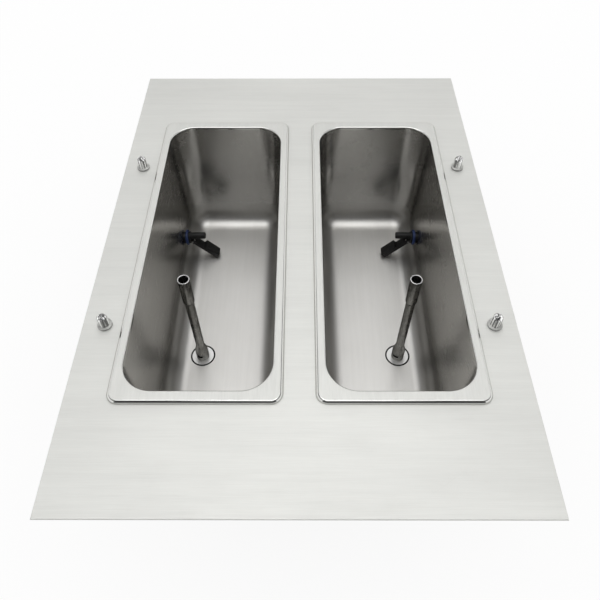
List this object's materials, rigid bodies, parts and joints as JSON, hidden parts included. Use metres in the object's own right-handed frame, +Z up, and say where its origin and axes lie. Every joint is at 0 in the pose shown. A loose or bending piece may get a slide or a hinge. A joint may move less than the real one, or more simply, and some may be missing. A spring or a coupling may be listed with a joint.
{
  "type": "slush machine hopper deck",
  "caption": "Flat satin stainless top deck with deep-drawn mix hoppers, each with a loose feed tube, a floor outlet and a side float switch, for a slush or soft-serve machine.",
  "frame": {"origin": "middle of the rail bolt pattern, on the plane that the rails bear on", "axes": "+X to the right seen from the front, +Y to the back along the hoppers, +Z up out of the hoppers"},
  "size_m": [0.54, 0.77, 0.2587],
  "materials": {
    "deck_steel": "fine satin, long grain",
    "hopper_steel": "drawn sheet, soft satin",
    "rail_steel": "mill finish",
    "polished_steel": "turned and polished",
    "tube_steel": "drawn tube, used satin",
    "fastener_steel": "plain stainless fasteners",
    "copper": "bare drawn copper",
    "strap_steel": "galvanised strip",
    "black_plastic": "moulded, slight sheen",
    "blue_silicone": "soft moulded ring",
    "black_rubber": "moulded seal",
    "pin_steel": "turned, polished",
    "ferrite": "sintered",
    "reed_glass": "clear capsule"
  },
  "bodies": {
    "deck": {"deck_panel": "deck_steel", "left_rail": "rail_steel", "right_rail": "rail_steel", "front_rail": "rail_steel", "rear_rail": "rail_steel", "centre_stiffener": "rail_steel", "locating_pins": "pin_steel", "pin_spring_washers": "fastener_steel", "pin_lock_nuts": "fastener_steel", "left_hopper": "hopper_steel", "left_rim_gasket": "black_rubber", "left_rim_studs": "fastener_steel", "left_rim_nuts": "fastener_steel", "left_outlet_ferrule": "polished_steel", "left_outlet_seal": "black_rubber", "left_outlet_studs": "fastener_steel", "left_outlet_nuts": "fastener_steel", "left_float_switch_body": "black_plastic", "left_float_switch_gasket": "blue_silicone", "left_float_switch_nut": "black_plastic", "left_float_pivot_pin": "polished_steel", "left_reed_switch": "reed_glass", "left_cooling_coil": "copper", "left_coil_couplings": "copper", "left_coil_straps": "strap_steel", "right_hopper": "hopper_steel", "right_rim_gasket": "black_rubber", "right_rim_studs": "fastener_steel", "right_rim_nuts": "fastener_steel", "right_outlet_ferrule": "polished_steel", "right_outlet_seal": "black_rubber", "right_outlet_studs": "fastener_steel", "right_outlet_nuts": "fastener_steel", "right_float_switch_body": "black_plastic", "right_float_switch_gasket": "blue_silicone", "right_float_switch_nut": "black_plastic", "right_float_pivot_pin": "polished_steel", "right_reed_switch": "reed_glass", "right_cooling_coil": "copper", "right_coil_couplings": "copper", "right_coil_straps": "strap_steel"},
    "left_feed": {"left_feed_tube": "tube_steel", "left_feed_tube_o_rings": "black_rubber"},
    "left_air": {"left_air_tube": "tube_steel"},
    "left_float": {"left_float_arm": "black_plastic", "left_float_magnet": "ferrite", "left_float_magnet_plug": "black_plastic"},
    "right_feed": {"right_feed_tube": "tube_steel", "right_feed_tube_o_rings": "black_rubber"},
    "right_air": {"right_air_tube": "tube_steel"},
    "right_float": {"right_float_arm": "black_plastic", "right_float_magnet": "ferrite", "right_float_magnet_plug": "black_plastic"}
  },
  "joints": [
    {"name": "left_feed_tube_lift", "type": "slide", "parent": "deck", "child": "left_feed", "axis": [0, 0, 1], "range_m": [0, 0.25]},
    {"name": "left_air_tube_turn", "type": "hinge", "parent": "left_feed", "child": "left_air", "pos_m": [-0.1553, -0.0727, -0.173], "axis": [0, 0, 1], "range_deg": [0, 90]},
    {"name": "left_float_swing", "type": "hinge", "parent": "deck", "child": "left_float", "pos_m": [-0.18877, 0.1402, -0.13027], "axis": [0, -1, 0], "range_deg": [0, 48.6]},
    {"name": "right_feed_tube_lift", "type": "slide", "parent": "deck", "child": "right_feed", "axis": [0, 0, 1], "range_m": [0, 0.25]},
    {"name": "right_air_tube_turn", "type": "hinge", "parent": "right_feed", "child": "right_air", "pos_m": [0.1553, -0.0727, -0.173], "axis": [0, 0, 1], "range_deg": [0, 90]},
    {"name": "right_float_swing", "type": "hinge", "parent": "deck", "child": "right_float", "pos_m": [0.18877, 0.1402, -0.13027], "axis": [0, 1, 0], "range_deg": [0, 48.6]}
  ]
}
